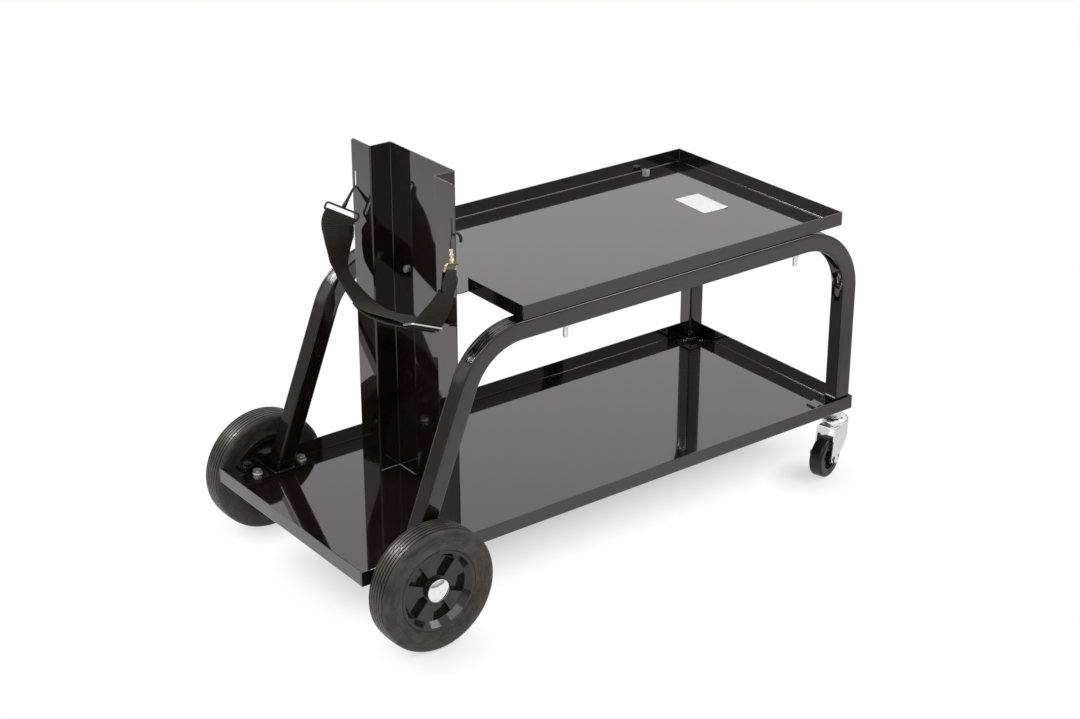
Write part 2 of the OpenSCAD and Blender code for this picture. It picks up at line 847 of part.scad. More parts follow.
module strap_ring(side) {
    color(side > 0 ? black_wire : brass) at_ring(side) wire_loop(ring_w, ring_h, ring_corner_r);
}

// The webbing's route: middle of the strap, then how its width is turned and tipped, in degrees.
// A turn of 0 leaves the width along Y and 90 lays it along X; the tip raises the leading edge.
strap_route = [
    [[-302.9, 131, 548.1], 49.7, -22.4],
    [[-306, 132.2, 521], 75, -21.5],
    [[-309, 128.5, 493], 102, -25.5],
    [[-311, 122, 467.5], 115, -25.5],
    [[-312, 94.5, 449.5], 113, -21.5],
    [[-312, 55, 434], 112, -13],
    [[-312, 23, 431], 102, -15.5],
    [[-312, -11, 436], 103, -16],
    [[-312, -50, 443.5], 98, -14],
    [[-312, -92, 447.5], 82, -18],
    [[-310.5, -116, 458], 82, -20],
    [[-307.5, -136, 484.5], 92, -15],
    [[-304, -148, 508.5], 112, -18],
    [[-301.5, -156.5, 527.5], 124, -25],
    [[-299.8, -158.2, 545.9], 126.7, -20.4]
];
strap_steps = 6;

// A smooth curve from b to c, with a and d the points either side of them
function cubic(a, b, c, d, t) =
    b + t * ((c - a) / 2 + t * (a - 2.5 * b + 2 * c - d / 2 + t * (1.5 * (b - c) + (d - a) / 2)));
function route_at(k, u) = let (n = len(strap_route) - 1, i = min(floor(u), n - 1))
    cubic(strap_route[max(i - 1, 0)][k], strap_route[i][k], strap_route[i + 1][k],
        strap_route[min(i + 2, n)][k], u - i);
function unit(v) = v / norm(v);
function strap_width_at(u) = let (a = route_at(1, u), b = route_at(2, u))
    [sin(a) * cos(b), -cos(a) * cos(b), sin(b)];

// The webbing's four corners: square to its run, except at the ends, which lie along the rings' bars
function strap_ring_points(u) = let (
    p = route_at(0, u),
    n = len(strap_route) - 1,
    run = unit(route_at(0, min(u + 0.01, n)) - route_at(0, max(u - 0.01, 0))),
    w0 = strap_width_at(u),
    w = unit(w0 - min(1, u, n - u) * (w0 * run) * run) * webbing_w / 2,
    t = unit(cross(run, w)) * webbing_t / 2
) [p + w + t, p - w + t, p - w - t, p + w - t];

module strap_webbing() {
    rings = strap_steps * (len(strap_route) - 1);
    points = [for (i = [0:rings]) each strap_ring_points(i / strap_steps)];
    sides = [for (i = [0:rings - 1], j = [0:3]) let (k = (j + 1) % 4)
        each [[4 * i + j, 4 * i + k, 4 * i + 4 + k], [4 * i + j, 4 * i + 4 + k, 4 * i + 4 + j]]];
    last = 4 * rings;
    color([0.13, 0.13, 0.11])
        polyhedron(points, concat(sides, [[3, 2, 1, 0], [last, last + 1, last + 2, last + 3]]));
}

// A flat steel slide under the webbing, where it turns up to the right hook
module strap_buckle() {
    slide_t = 2.5;
    at = 9.5;
    p = route_at(0, at);
    w = unit(strap_width_at(at));
    run = unit(route_at(0, at + 0.4) - route_at(0, at - 0.4));
    up = unit(cross(run, w));
    v = cross(up, run);
    lift = -webbing_t / 2 - 2 - slide_t;
    color(zinc) multmatrix([
        [v[0], run[0], up[0], p[0] + up[0] * lift],
        [v[1], run[1], up[1], p[1] + up[1] * lift],
        [v[2], run[2], up[2], p[2] + up[2] * lift],
        [0, 0, 0, 1]
    ]) linear_extrude(slide_t) difference() {
        round_rect(57, 26, 3);
        for (s = SIDES)
            translate([0, s * 6]) square([51, 7], center = true);
    }
}

base_tray();
upper_tray();
bottle_support();
side_frame(1);  // side_frame_left
side_frame(-1);  // side_frame_right
rear_foot_plate(1);  // rear_foot_plate_left
rear_foot_plate(-1);  // rear_foot_plate_right
front_foot_plate(1);  // front_foot_plate_left
front_foot_plate(-1);  // front_foot_plate_right
rear_axle();
axle_bracket(1);  // axle_bracket_left
axle_bracket(-1);  // axle_bracket_right
axle_spacers();
axle_washers();
axle_caps();
rear_tyre(1);  // rear_tyre_left
rear_tyre(-1);  // rear_tyre_right
rear_rim(1);  // rear_rim_left
rear_rim(-1);  // rear_rim_right
rear_bush(1);  // rear_bush_left
rear_bush(-1);  // rear_bush_right
caster_studs();
caster_bells();
caster_balls(1);  // caster_balls_left
caster_balls(-1);  // caster_balls_right
caster_fork(1);  // caster_fork_left
caster_fork(-1);  // caster_fork_right
caster_tyre(1);  // caster_tyre_left
caster_tyre(-1);  // caster_tyre_right
caster_core(1);  // caster_core_left
caster_core(-1);  // caster_core_right
caster_bush(1);  // caster_bush_left
caster_bush(-1);  // caster_bush_right
caster_bolt(1);  // caster_bolt_left
caster_bolt(-1);  // caster_bolt_right
caster_nut(1);  // caster_nut_left
caster_nut(-1);  // caster_nut_right
stud_nuts();
stud_jam_nuts();
stud_washers();
rear_foot_bolts();
rear_foot_washers();
rear_foot_nuts();
tray_bolts();
tray_nuts();
support_bolts();
support_nuts();
support_foot_bolts();
support_foot_nuts();
front_foot_bolts();
front_foot_nuts();
strap_webbing();
strap_buckle();
strap_ring(1);  // strap_ring_left
strap_ring(-1);  // strap_ring_right
strap_hook(1);  // strap_hook_left
strap_hook(-1);  // strap_hook_right
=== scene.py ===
"""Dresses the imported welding-machine cart: finishes, tube bends, webbing, hooks, welds, label and studio."""
import json
import math

import bpy
import numpy as np
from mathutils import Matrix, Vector


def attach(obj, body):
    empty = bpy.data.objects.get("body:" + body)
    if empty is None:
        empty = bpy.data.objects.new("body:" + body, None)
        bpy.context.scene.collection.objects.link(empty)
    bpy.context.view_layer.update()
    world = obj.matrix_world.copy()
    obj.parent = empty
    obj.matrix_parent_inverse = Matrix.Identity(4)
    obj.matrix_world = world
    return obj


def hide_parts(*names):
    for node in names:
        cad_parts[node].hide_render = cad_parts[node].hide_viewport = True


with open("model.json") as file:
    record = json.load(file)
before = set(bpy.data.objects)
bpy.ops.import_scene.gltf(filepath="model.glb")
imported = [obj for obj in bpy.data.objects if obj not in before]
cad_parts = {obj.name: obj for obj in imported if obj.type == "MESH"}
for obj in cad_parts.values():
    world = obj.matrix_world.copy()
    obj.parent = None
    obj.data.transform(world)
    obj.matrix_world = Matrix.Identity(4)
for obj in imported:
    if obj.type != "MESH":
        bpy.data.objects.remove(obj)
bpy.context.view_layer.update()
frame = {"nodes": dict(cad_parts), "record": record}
MM = 0.001
SIDES = ((1, "left"), (-1, "right"))


# ------------------------------------------------------------------ node helpers

# The Mix node's colour sockets share their names with others, so they go by number
MIX_COLOUR_INPUTS = (6, 7)
MIX_COLOUR_OUTPUT = 2


def new_material(name):
    """A new node material, with its tree and its Principled BSDF."""
    material = bpy.data.materials.new(name)
    material.use_nodes = True
    tree = material.node_tree
    return material, tree, tree.nodes["Principled BSDF"]


def add(tree, kind, **settings):
    """Adds a node and sets its own settings."""
    node = tree.nodes.new(kind)
    for key, value in settings.items():
        setattr(node, key, value)
    return node


def link(tree, source, target):
    tree.links.new(source, target)


def object_coords(tree):
    """Coordinates in the cart's frame at rest, in metres."""
    return add(tree, "ShaderNodeTexCoord").outputs["Object"]


def noise(tree, vector, scale, detail, roughness=0.5):
    """Noise with about so many features to each unit of the vector."""
    node = add(tree, "ShaderNodeTexNoise")
    for socket, value in (("Scale", scale), ("Detail", detail), ("Roughness", roughness)):
        node.inputs[socket].default_value = value
    link(tree, vector, node.inputs["Vector"])
    return node.outputs["Fac"]


def remap(tree, value, low, high, to_low=0.0, to_high=1.0):
    """Carries the range low to high over to another, and holds a value that lies beyond it."""
    node = add(tree, "ShaderNodeMapRange")
    for key, number in zip(("From Min", "From Max", "To Min", "To Max"), (low, high, to_low, to_high)):
        node.inputs[key].default_value = number
    link(tree, value, node.inputs["Value"])
    return node.outputs["Result"]


def math_node(tree, operation, a, b=None):
    """An operation on one or two values, each a number or a socket."""
    node = add(tree, "ShaderNodeMath", operation=operation)
    for socket, value in zip(node.inputs, (a, b)):
        if value is None:
            continue
        if isinstance(value, (int, float)):
            socket.default_value = value
        else:
            link(tree, value, socket)
    return node.outputs[0]


def plus(tree, a, b):
    return math_node(tree, "ADD", a, b)


def minus(tree, a, b):
    return math_node(tree, "SUBTRACT", a, b)


def times(tree, a, b):
    return math_node(tree, "MULTIPLY", a, b)


def diagonal(tree, a, b):
    """The diagonal of a rectangle with sides a and b."""
    return math_node(tree, "SQRT", plus(tree, times(tree, a, a), times(tree, b, b)))


def mix_colour(tree, factor, a, b):
    """A colour between a and b, each a colour or a socket."""
    node = add(tree, "ShaderNodeMix", data_type="RGBA")
    sockets = [node.inputs["Factor"], *(node.inputs[number] for number in MIX_COLOUR_INPUTS)]
    for socket, value in zip(sockets, (factor, a, b)):
        if isinstance(value, tuple):
            socket.default_value = (*value, 1.0)
        else:
            link(tree, value, socket)
    return node.outputs[MIX_COLOUR_OUTPUT]


def bump(tree, height, strength, distance, normal=None):
    """The surface's normal, or the one given, disturbed by a height."""
    node = add(tree, "ShaderNodeBump")
    node.inputs["Strength"].default_value = strength
    node.inputs["Distance"].default_value = distance
    link(tree, height, node.inputs["Height"])
    if normal is not None:
        link(tree, normal, node.inputs["Normal"])
    return node.outputs["Normal"]


def soft_edges(tree, radius):
    """Catches light on the machined and folded edges, as their real small radius does."""
    node = add(tree, "ShaderNodeBevel", samples=6)
    node.inputs["Radius"].default_value = radius
    return node.outputs["Normal"]


def split(tree, vector):
    """A vector's three parts."""
    node = add(tree, "ShaderNodeSeparateXYZ")
    link(tree, vector, node.inputs[0])
    return node.outputs


# ------------------------------------------------------------------ materials

EDGE_R = 0.5 * MM
PLATED_EDGE_R = 0.3 * MM


def powder_coat():
    """Gloss black powder coat: near-mirror, with a faint orange peel and a little dust."""
    black, dusty = (0.0085, 0.0068, 0.0056), (0.11, 0.105, 0.10)
    material, tree, shader = new_material("powder_black")
    where = object_coords(tree)
    dust = remap(tree, noise(tree, where, 900, 2), 0.66, 0.8)
    haze = remap(tree, noise(tree, where, 9, 4), 0.35, 0.75)
    link(tree, mix_colour(tree, times(tree, dust, 0.08), black, dusty), shader.inputs["Base Color"])
    link(tree, remap(tree, haze, 0, 1, 0.05, 0.10), shader.inputs["Roughness"])
    shader.inputs["IOR"].default_value = 1.40
    shader.inputs["Specular Tint"].default_value = (1.0, 0.92, 0.98, 1.0)
    shader.inputs["Coat Weight"].default_value = 1.0
    shader.inputs["Coat Roughness"].default_value = 0.02
    shader.inputs["Coat IOR"].default_value = 1.42
    shader.inputs["Coat Tint"].default_value = (1.0, 0.94, 0.99, 1.0)
    orange_peel = noise(tree, where, 260, 2)
    surface = bump(tree, orange_peel, 0.12, 0.02 * MM, soft_edges(tree, EDGE_R))
    link(tree, surface, shader.inputs["Normal"])
    link(tree, surface, shader.inputs["Coat Normal"])
    return material


def plated(name, colour, roughness, metallic=1.0):
    """Bright plate: a metal with slightly cloudy brightness and fine scratches."""
    material, tree, shader = new_material(name)
    where = object_coords(tree)
    cloud = noise(tree, where, 140, 4)
    darker = tuple(part * 0.9 for part in colour)
    link(tree, mix_colour(tree, remap(tree, cloud, 0.3, 0.7), colour, darker), shader.inputs["Base Color"])
    link(tree, remap(tree, cloud, 0.3, 0.7, roughness * 0.8, roughness * 1.3), shader.inputs["Roughness"])
    shader.inputs["Metallic"].default_value = metallic
    scratches = noise(tree, where, 1500, 2)
    surface = bump(tree, scratches, 0.03, 0.01 * MM, soft_edges(tree, PLATED_EDGE_R))
    link(tree, surface, shader.inputs["Normal"])
    return material


def moulded(name, colour, roughness, ior=1.5):
    """A dark moulding, rubber or dipped wire, slightly cloudy and with a fine grain."""
    material, tree, shader = new_material(name)
    where = object_coords(tree)
    cloud = noise(tree, where, 60, 4)
    lighter = tuple(min(1.0, part * 1.7 + 0.004) for part in colour)
    link(tree, mix_colour(tree, remap(tree, cloud, 0.4, 0.75), colour, lighter), shader.inputs["Base Color"])
    link(tree, remap(tree, cloud, 0.3, 0.7, roughness * 0.85, roughness * 1.2), shader.inputs["Roughness"])
    shader.inputs["IOR"].default_value = ior
    grain = noise(tree, where, 1800, 2)
    link(tree, bump(tree, grain, 0.2, 0.04 * MM, soft_edges(tree, EDGE_R)), shader.inputs["Normal"])
    return material


# The left rear wheel's centre, and how far from its middle the tread gives way to the sidewall, in metres
REAR_WHEEL = (-0.4, 0.2415, 0.1)
TREAD_ENDS = (0.0185, 0.0205)


def tyre_rubber():
    """Solid rubber: a dusty, scuffed sidewall, and a ribbed tread with the shine of new moulding."""
    black, dust, speck = (0.0165, 0.0135, 0.0102), (0.080, 0.070, 0.055), (0.13, 0.12, 0.10)
    material, tree, shader = new_material("tyre_rubber")
    where = object_coords(tree)
    x, y, z = split(tree, where)
    beside = math_node(tree, "ABSOLUTE", y)
    from_middle = math_node(tree, "ABSOLUTE", minus(tree, beside, REAR_WHEEL[1]))
    tread = remap(tree, from_middle, *TREAD_ENDS, 1.0, 0.0)
    dx = minus(tree, x, REAR_WHEEL[0])
    dz = minus(tree, z, REAR_WHEEL[2])
    turn = math_node(tree, "ARCTAN2", dz, dx)
    round_wheel = add(tree, "ShaderNodeCombineXYZ")
    link(tree, times(tree, diagonal(tree, dx, dz), 14.0), round_wheel.inputs[0])
    link(tree, times(tree, turn, 0.28), round_wheel.inputs[1])
    link(tree, y, round_wheel.inputs[2])
    rubbed = remap(tree, noise(tree, round_wheel.outputs[0], 12.0, 6, 0.75), 0.44, 0.64)
    blotch = remap(tree, noise(tree, where, 34, 5, 0.65), 0.45, 0.65)
    dusty = times(tree, plus(tree, rubbed, blotch), remap(tree, tread, 0, 1, 0.5, 0.3))
    specks = times(tree, remap(tree, noise(tree, where, 420, 2), 0.66, 0.74), 0.5)
    colour = mix_colour(tree, specks, mix_colour(tree, dusty, black, dust), speck)
    link(tree, colour, shader.inputs["Base Color"])
    worn = remap(tree, noise(tree, where, 220, 4, 0.7), 0.35, 0.65)
    link(tree, remap(tree, times(tree, tread, worn), 0, 1, 0.52, 0.24), shader.inputs["Roughness"])
    grain = plus(tree, noise(tree, where, 1500, 2), times(tree, noise(tree, where, 190, 3), 2.5))
    link(tree, bump(tree, grain, 0.3, 0.06 * MM, soft_edges(tree, EDGE_R)), shader.inputs["Normal"])
    return material


# The weave, in millimetres
RIB_PITCH = 3.2
THREAD_PITCH = 0.9
THREAD_SLANT = 1.6


def woven():
    """Dark olive-black webbing: ribs across the band, of slanting threads; its colour is painted darker in the
    rib valleys and paler on the crests, as painted shade and highlight, and varies with random fuzz.
    Its UVs are in millimetres, across the band and along it."""
    dark, pale, worn = (0.0016, 0.0013, 0.0010), (0.055, 0.048, 0.034), (0.030, 0.027, 0.021)
    material, tree, shader = new_material("woven_webbing")
    across, along, _ = split(tree, add(tree, "ShaderNodeTexCoord").outputs["UV"])
    slanted = plus(tree, along, math_node(tree, "PINGPONG", across, THREAD_SLANT))
    ribs = math_node(tree, "SINE", times(tree, slanted, 2 * math.pi / RIB_PITCH))
    threads = math_node(tree, "SINE", times(tree, across, 2 * math.pi / THREAD_PITCH))
    # The weave's height, for the bump, also paints shade into the rib valleys and a highlight on the crests
    weave_height_and_shade = plus(tree, plus(tree, times(tree, ribs, 0.38), times(tree, threads, 0.12)), 0.5)
    where = object_coords(tree)
    fluff = noise(tree, where, 480, 5, 0.7)
    wear = remap(tree, noise(tree, where, 45, 4), 0.55, 0.8, 0, 0.3)
    # Painted shade in the rib valleys and painted highlight on the crests, varied by random fuzz
    painted_weave_shade_and_fuzz = times(tree, weave_height_and_shade, remap(tree, fluff, 0.35, 0.65, 0.25, 1.5))
    colour = mix_colour(tree, wear, mix_colour(tree, painted_weave_shade_and_fuzz, dark, pale), worn)
    link(tree, colour, shader.inputs["Base Color"])
    link(tree, remap(tree, fluff, 0.3, 0.7, 0.62, 0.8), shader.inputs["Roughness"])
    shader.inputs["Specular IOR Level"].default_value = 0.3
    shader.inputs["Sheen Weight"].default_value = 0.05
    shader.inputs["Sheen Roughness"].default_value = 0.5
    link(tree, bump(tree, weave_height_and_shade, 0.8, 0.5 * MM), shader.inputs["Normal"])
    return material


def painted_edge_highlight():
    """A painted highlight along a cut edge: a pale, dull and slightly uneven colour that stands in for the
    light the edge catches.
    """
    dull, pale = (0.62, 0.60, 0.57), (0.92, 0.90, 0.87)
    material, tree, shader = new_material("painted_edge_highlight")
    patch = noise(tree, object_coords(tree), 260, 3)
    link(tree, mix_colour(tree, remap(tree, patch, 0.35, 0.65), dull, pale), shader.inputs["Base Color"])
    link(tree, remap(tree, patch, 0.3, 0.7, 0.25, 0.5), shader.inputs["Roughness"])
    return material


def label_paper():
    """A bare white vinyl label, very slightly uneven."""
    white, greyer = (0.90, 0.91, 0.90), (0.82, 0.83, 0.83)
    material, tree, shader = new_material("label_white")
    where = object_coords(tree)
    cloud = noise(tree, where, 70, 4)
    link(tree, mix_colour(tree, remap(tree, cloud, 0.4, 0.8), white, greyer), shader.inputs["Base Color"])
    link(tree, remap(tree, cloud, 0.3, 0.7, 0.28, 0.42), shader.inputs["Roughness"])
    link(tree, bump(tree, noise(tree, where, 900, 3), 0.15, 0.03 * MM), shader.inputs["Normal"])
    return material


# ------------------------------------------------------------------ mesh helpers

def make_piece(name, vertices, faces, material, uvs=None):
    """A smooth piece of the cart, from vertices in millimetres. uvs holds one pair per vertex."""
    mesh = bpy.data.meshes.new(name)
    places = [tuple(float(part) * MM for part in vertex) for vertex in vertices]
    mesh.from_pydata(places, [], [tuple(map(int, face)) for face in faces])
    if uvs is not None:
        layer = mesh.uv_layers.new(name="UVMap")
        for loop in mesh.loops:
            layer.data[loop.index].uv = [float(part) for part in uvs[loop.vertex_index]]
    mesh.materials.append(material)
    mesh.validate()
    mesh.shade_smooth()
    piece = bpy.data.objects.new(name, mesh)
    bpy.context.scene.collection.objects.link(piece)
    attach(piece, "cart")
    return piece


def unit(v):
    v = np.asarray(v, float)
    return v / np.linalg.norm(v)


def smoothstep(x):
    x = np.clip(x, 0.0, 1.0)
    return x * x * (3 - 2 * x)


def catmull(points, steps):
    """A smooth curve through rows of numbers, with steps to each interval."""
    points = np.asarray(points, float)
    padded = np.vstack([2 * points[0] - points[1], points, 2 * points[-1] - points[-2]])
    rows = []
    for i in range(1, len(padded) - 2):
        a, b, c, d = padded[i - 1:i + 3]
        for t in np.arange(steps) / steps:
            cubic = a - 2.5 * b + 2 * c - d / 2 + t * (1.5 * (b - c) + (d - a) / 2)
            rows.append(b + t * ((c - a) / 2 + t * cubic))
    rows.append(points[-1])
    return np.array(rows)


def arc_length(path):
    """How far along a path each of its points is. The first three numbers of a row are its place."""
    steps = np.linalg.norm(np.diff(path[:, :3], axis=0), axis=1)
    return np.concatenate([[0], np.cumsum(steps)])


def rows_at(path, length, at):
    """A path's rows at some distances along it, from the distances of its own rows."""
    return np.column_stack([np.interp(at, length, path[:, k]) for k in range(path.shape[1])])


def resample(path, step):
    """The same curve with its points a step apart."""
    length = arc_length(path)
    return rows_at(path, length, np.linspace(0, length[-1], int(length[-1] / step) + 1))


def bar_faces(rings, sides):
    """Quads between closed rings of so many points, and a cap on the first ring and on the last."""
    faces = []
    for start in range(0, (rings - 1) * sides, sides):
        for here in range(sides):
            after = (here + 1) % sides
            faces.append((start + here, start + after, start + sides + after, start + sides + here))
    last = (rings - 1) * sides
    return faces + [tuple(range(sides - 1, -1, -1)), tuple(range(last, last + sides))]


def turned(name, centres, radii, material, sections=14):
    """A round bar of changing thickness along a path."""
    centres = np.asarray(centres, float)
    runs = np.gradient(centres, axis=0)
    side = unit(np.cross(runs[0], (0.3, 1.0, 0.2)))
    vertices = []
    for centre, run, radius in zip(centres, runs, radii):
        run = unit(run)
        side = unit(side - (side @ run) * run)
        other = np.cross(run, side)
        for k in range(sections):
            angle = 2 * math.pi * k / sections
            vertices.append(centre + radius * (side * math.cos(angle) + other * math.sin(angle)))
    return make_piece(name, vertices, bar_faces(len(centres), sections), material)


# ------------------------------------------------------------------ side frames

RAKE = math.radians(21.2)
FRAME_Y = 190.5
BEND_R = 105.0
BEND_Z = 341.5
REAR_BEND_X = -201.85
FRONT_BEND_X = 376.0
FRONT_LEG_X = FRONT_BEND_X + BEND_R
REAR_FOOT_X = -400.0
FOOT_Z = 121.0
TUBE_HALF = 15.0
TUBE_CORNER = 3.0

# The outer wall of a bend is drawn in between two shoulders, gradually over so many millimetres, and has
# lengthwise ridges
SHOULDER_Y = 11.2
SHOULDER_WIDTH = 4.0
DRAWN_IN, DRAWN_OVER = 1.5, 20
RIDGE_HEIGHT, RIDGE_PITCH = 0.19, 5.4
WAVE_HEIGHT, WAVE_PITCH, WAVE_DRIFT = 0.07, 3.1, 0.12

# The inner wall is pressed into a groove, which starts so far inside the bend, and before it into a teardrop,
# which opens, deepens and closes over so many millimetres
GROOVE_DEPTH, GROOVE_HALF = 6.5, 10.5
GROOVE_START, GROOVE_OVER = 16, 24
TEARDROP_DEPTH, TEARDROP_HALF, TEARDROP_LENGTH = 2.4, 10.0, 38
TEARDROP_OPENS, TEARDROP_DEEPENS, TEARDROP_CLOSES = 10, 7, 28


def tube_outline():
    """The tube's outline as (outwards, across), corners round, fine across the inner and outer faces."""
    flat = TUBE_HALF - TUBE_CORNER
    face = np.linspace(-flat, flat, 45)
    side = np.linspace(flat, -flat, 5)
    points = []

    def corner(outwards, across, start):
        for degrees in np.linspace(start, start + 90, 6)[1:-1]:
            angle = math.radians(degrees)
            points.append((outwards + TUBE_CORNER * math.cos(angle), across + TUBE_CORNER * math.sin(angle)))

    points += [(TUBE_HALF, across) for across in face]
    corner(flat, flat, 0)
    points += [(outwards, TUBE_HALF) for outwards in side]
    corner(-flat, flat, 90)
    points += [(-TUBE_HALF, -across) for across in face]
    corner(-flat, -flat, 180)
    points += [(outwards, -TUBE_HALF) for outwards in side[::-1]]
    corner(flat, -flat, 270)
    return np.array(points)


def bend_stations(centre_x, start, end, count):
    """Stations round one bend, between two angles of its outward side."""
    stations = []
    for t in np.linspace(0, 1, count):
        turn = start + (end - start) * t
        inside = BEND_R * abs(end - start) * min(t, 1 - t)
        x, z = centre_x + BEND_R * math.cos(turn), BEND_Z + BEND_R * math.sin(turn)
        stations.append((x, z, turn, inside, False))
    return stations


def tube_path():
    """Stations along the bent tube, from the foot of its raked leg: x, z, the angle of the outward side, how
    far inside a bend it is, and whether it is on the raked leg."""
    leg_turn, level_turn = math.pi - RAKE, math.pi / 2
    top = np.array([REAR_BEND_X + BEND_R * math.cos(leg_turn), BEND_Z + BEND_R * math.sin(leg_turn)])
    down = np.array([-math.sin(RAKE), -math.cos(RAKE)])
    length = (top[1] - FOOT_Z) / math.cos(RAKE)
    raked = np.linspace(length, 0, 12, endpoint=False)
    level = np.linspace(REAR_BEND_X, FRONT_BEND_X, 30)[1:-1]
    stations = [(*(top + down * away), leg_turn, 0.0, True) for away in raked]
    stations += bend_stations(REAR_BEND_X, leg_turn, level_turn, 61)
    stations += [(x, BEND_Z + BEND_R, level_turn, 0.0, False) for x in level]
    stations += bend_stations(FRONT_BEND_X, level_turn, 0.0, 79)
    stations += [(FRONT_LEG_X, z, 0.0, 0.0, False) for z in np.linspace(BEND_Z, FOOT_Z, 10)[1:]]
    return stations


def dented(outline, inside):
    """The outline at a station that is so many millimetres inside a bend."""
    points = outline.copy()
    if inside <= 0:
        return points
    outer = np.isclose(outline[:, 0], TUBE_HALF)
    inner = np.isclose(outline[:, 0], -TUBE_HALF)
    y = outline[:, 1]
    trough = smoothstep((SHOULDER_Y - np.abs(y)) / SHOULDER_WIDTH)
    ridges = RIDGE_HEIGHT * np.cos(2 * math.pi * y / RIDGE_PITCH)
    ridges = ridges + WAVE_HEIGHT * np.sin(2 * math.pi * y / WAVE_PITCH + WAVE_DRIFT * inside)
    depth = smoothstep(inside / DRAWN_OVER)
    points[outer, 0] += (depth * trough * (-DRAWN_IN + ridges))[outer]
    slope = np.clip(1 - np.abs(y) / GROOVE_HALF, 0, 1) ** 0.85
    groove = GROOVE_DEPTH * smoothstep((inside - GROOVE_START) / GROOVE_OVER) * slope
    start = min(inside / TEARDROP_OPENS, 1.0)
    end = np.clip((TEARDROP_LENGTH - inside) / TEARDROP_CLOSES, 0, 1)
    wide = TEARDROP_HALF * math.sqrt(start * (2 - start)) * end ** 0.6
    hollow = np.sqrt(np.clip(1 - (y / max(wide, 0.1)) ** 2, 0, 1))
    teardrop = TEARDROP_DEPTH * smoothstep(inside / TEARDROP_DEEPENS) * hollow
    points[inner, 0] += np.maximum(groove, teardrop)[inner]
    return points


def add_side_frame(name, node, side, material):
    """One bent tube, with its raked foot cut level, in place of its plain solid."""
    outline = tube_outline()
    rows = []
    for x, z, turn, inside, raked in tube_path():
        normal = np.array([math.cos(turn), math.sin(turn)])
        along = np.array([normal[1], -normal[0]])
        for outwards, across in dented(outline, inside):
            place = np.array([x, z]) + normal * outwards
            if raked:
                below_foot = (FOOT_Z - place[1]) / along[1]
                if below_foot > 0 or len(rows) < len(outline):
                    place = place + along * below_foot
            rows.append((place[0], side * FRAME_Y + across, place[1]))
    piece = make_piece(name, rows, bar_faces(len(rows) // len(outline), len(outline)), material)
    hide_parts(node)


# ------------------------------------------------------------------ strap

# The middle of each ring's bar, and the bar's direction
LEFT_RING = (np.array([-302.5, 130.7, 551.2]), np.array([0.7053, -0.5976, -0.3813]))
RIGHT_RING = (np.array([-299.5, -158.35, 549.2]), np.array([0.7520, 0.5592, -0.3491]))
WIRE_R = 1.6
WEBBING_HALF = 25.0
WEBBING_T = 1.9

# The hanging webbing's middle, with the turn and the tip of its width in degrees
STRAP_ROUTE = [
    ((-306, 132.2, 521), 75, -21.5),
    ((-309, 128.5, 493), 102, -25.5),
    ((-311, 122, 467.5), 115, -25.5),
    ((-312, 94.5, 449.5), 113, -21.5),
    ((-312, 55, 434), 112, -13),
    ((-312, 23, 431), 102, -15.5),
    ((-312, -11, 436), 103, -16),
    ((-312, -50, 443.5), 98, -14),
    ((-312, -92, 447.5), 82, -18),
    ((-310.5, -116, 458), 82, -20),
    ((-307.5, -136, 484.5), 92, -15),
    ((-304, -148, 508.5), 112, -18),
    ((-301.5, -156.5, 527.5), 124, -25),
]

# A sewn end: half the step between its two layers, its radius round the bar, and how far from the bar it
# leaves the round and meets its other layer
SEWN_STEP = (WEBBING_T + 0.3) / 2
WRAP_R = WIRE_R + WEBBING_T / 2 + 0.1
LEAVES_BAR = 3
LAYERS_MEET = 13

# The buckle's middle bar, and how far the webbing dips at distances from it
BUCKLE = np.array([-311.3, -104.6, 452.6])
DIP_AT = [-26, -13, -9.8, -2.4, 2.4, 9.8, 13, 26]
DIP = [0, 2.2, 2.4, 7.4, 7.4, 2.4, 2.2, 0]

# How far the free end hangs below the webbing at distances from the buckle, and its half width, its
# thickness and how many of the webbing's rows it passes
TAIL_AT = [2, 8, 14, 30, 70, 120, 150, 165]
TAIL_BELOW = [9.6, 9.0, 7.6, 8.2, 10.5, 7.5, 4.0, 2.6]
TAIL_HALF = WEBBING_HALF - 0.4
TAIL_T = 1.7
TAIL_ROWS = 102

# How far apart the rows of the webbing and of its free end are
WEBBING_STEP = 1.6
TAIL_STEP = 2.5


def strap_width(turn, tip):
    """The width's direction from its turn and its tip."""
    turn, tip = math.radians(turn), math.radians(tip)
    return np.array([math.sin(turn) * math.cos(tip), -math.cos(turn) * math.cos(tip), math.sin(tip)])


def strap_end(ring, near, further, tail):
    """One sewn end, from its cut edge round the ring's bar to where the single strap begins. near and further
    are the two rows of the route that are closest to it, and the cut edge is a share, tail, of the way
    between them."""
    centre, bar = ring
    start, width = np.asarray(near[0], float), strap_width(*near[1:])
    run = unit(start - centre)
    run = unit(run - (run @ bar) * bar)
    side = unit(np.cross(run, bar))
    step, off_bar = side * SEWN_STEP, side * WRAP_R * 0.96
    rows = [(start * (1 - tail) + np.asarray(further[0], float) * tail - step, width), (start - step, width),
            (centre + run * LAYERS_MEET - step, bar), (centre + run * LEAVES_BAR - off_bar, bar)]
    for angle in np.linspace(0, math.pi, 9):
        rows.append((centre - side * WRAP_R * math.cos(angle) - run * WRAP_R * math.sin(angle), bar))
    rows += [(centre + run * LEAVES_BAR + off_bar, bar), (centre + run * LAYERS_MEET + step, bar),
             (start + step, width)]
    return rows


def strap_rows():
    """The webbing from its sewn end at the left ring to the one at the right. A row is a centre and a width
    direction."""
    left = strap_end(LEFT_RING, STRAP_ROUTE[0], STRAP_ROUTE[1], tail=0.25)
    middle = [(np.asarray(place, float), strap_width(turn, tip)) for place, turn, tip in STRAP_ROUTE[1:-1]]
    right = strap_end(RIGHT_RING, STRAP_ROUTE[-1], STRAP_ROUTE[-2], tail=0.2)
    return catmull([np.concatenate(row) for row in left + middle + right[::-1]], steps=5)


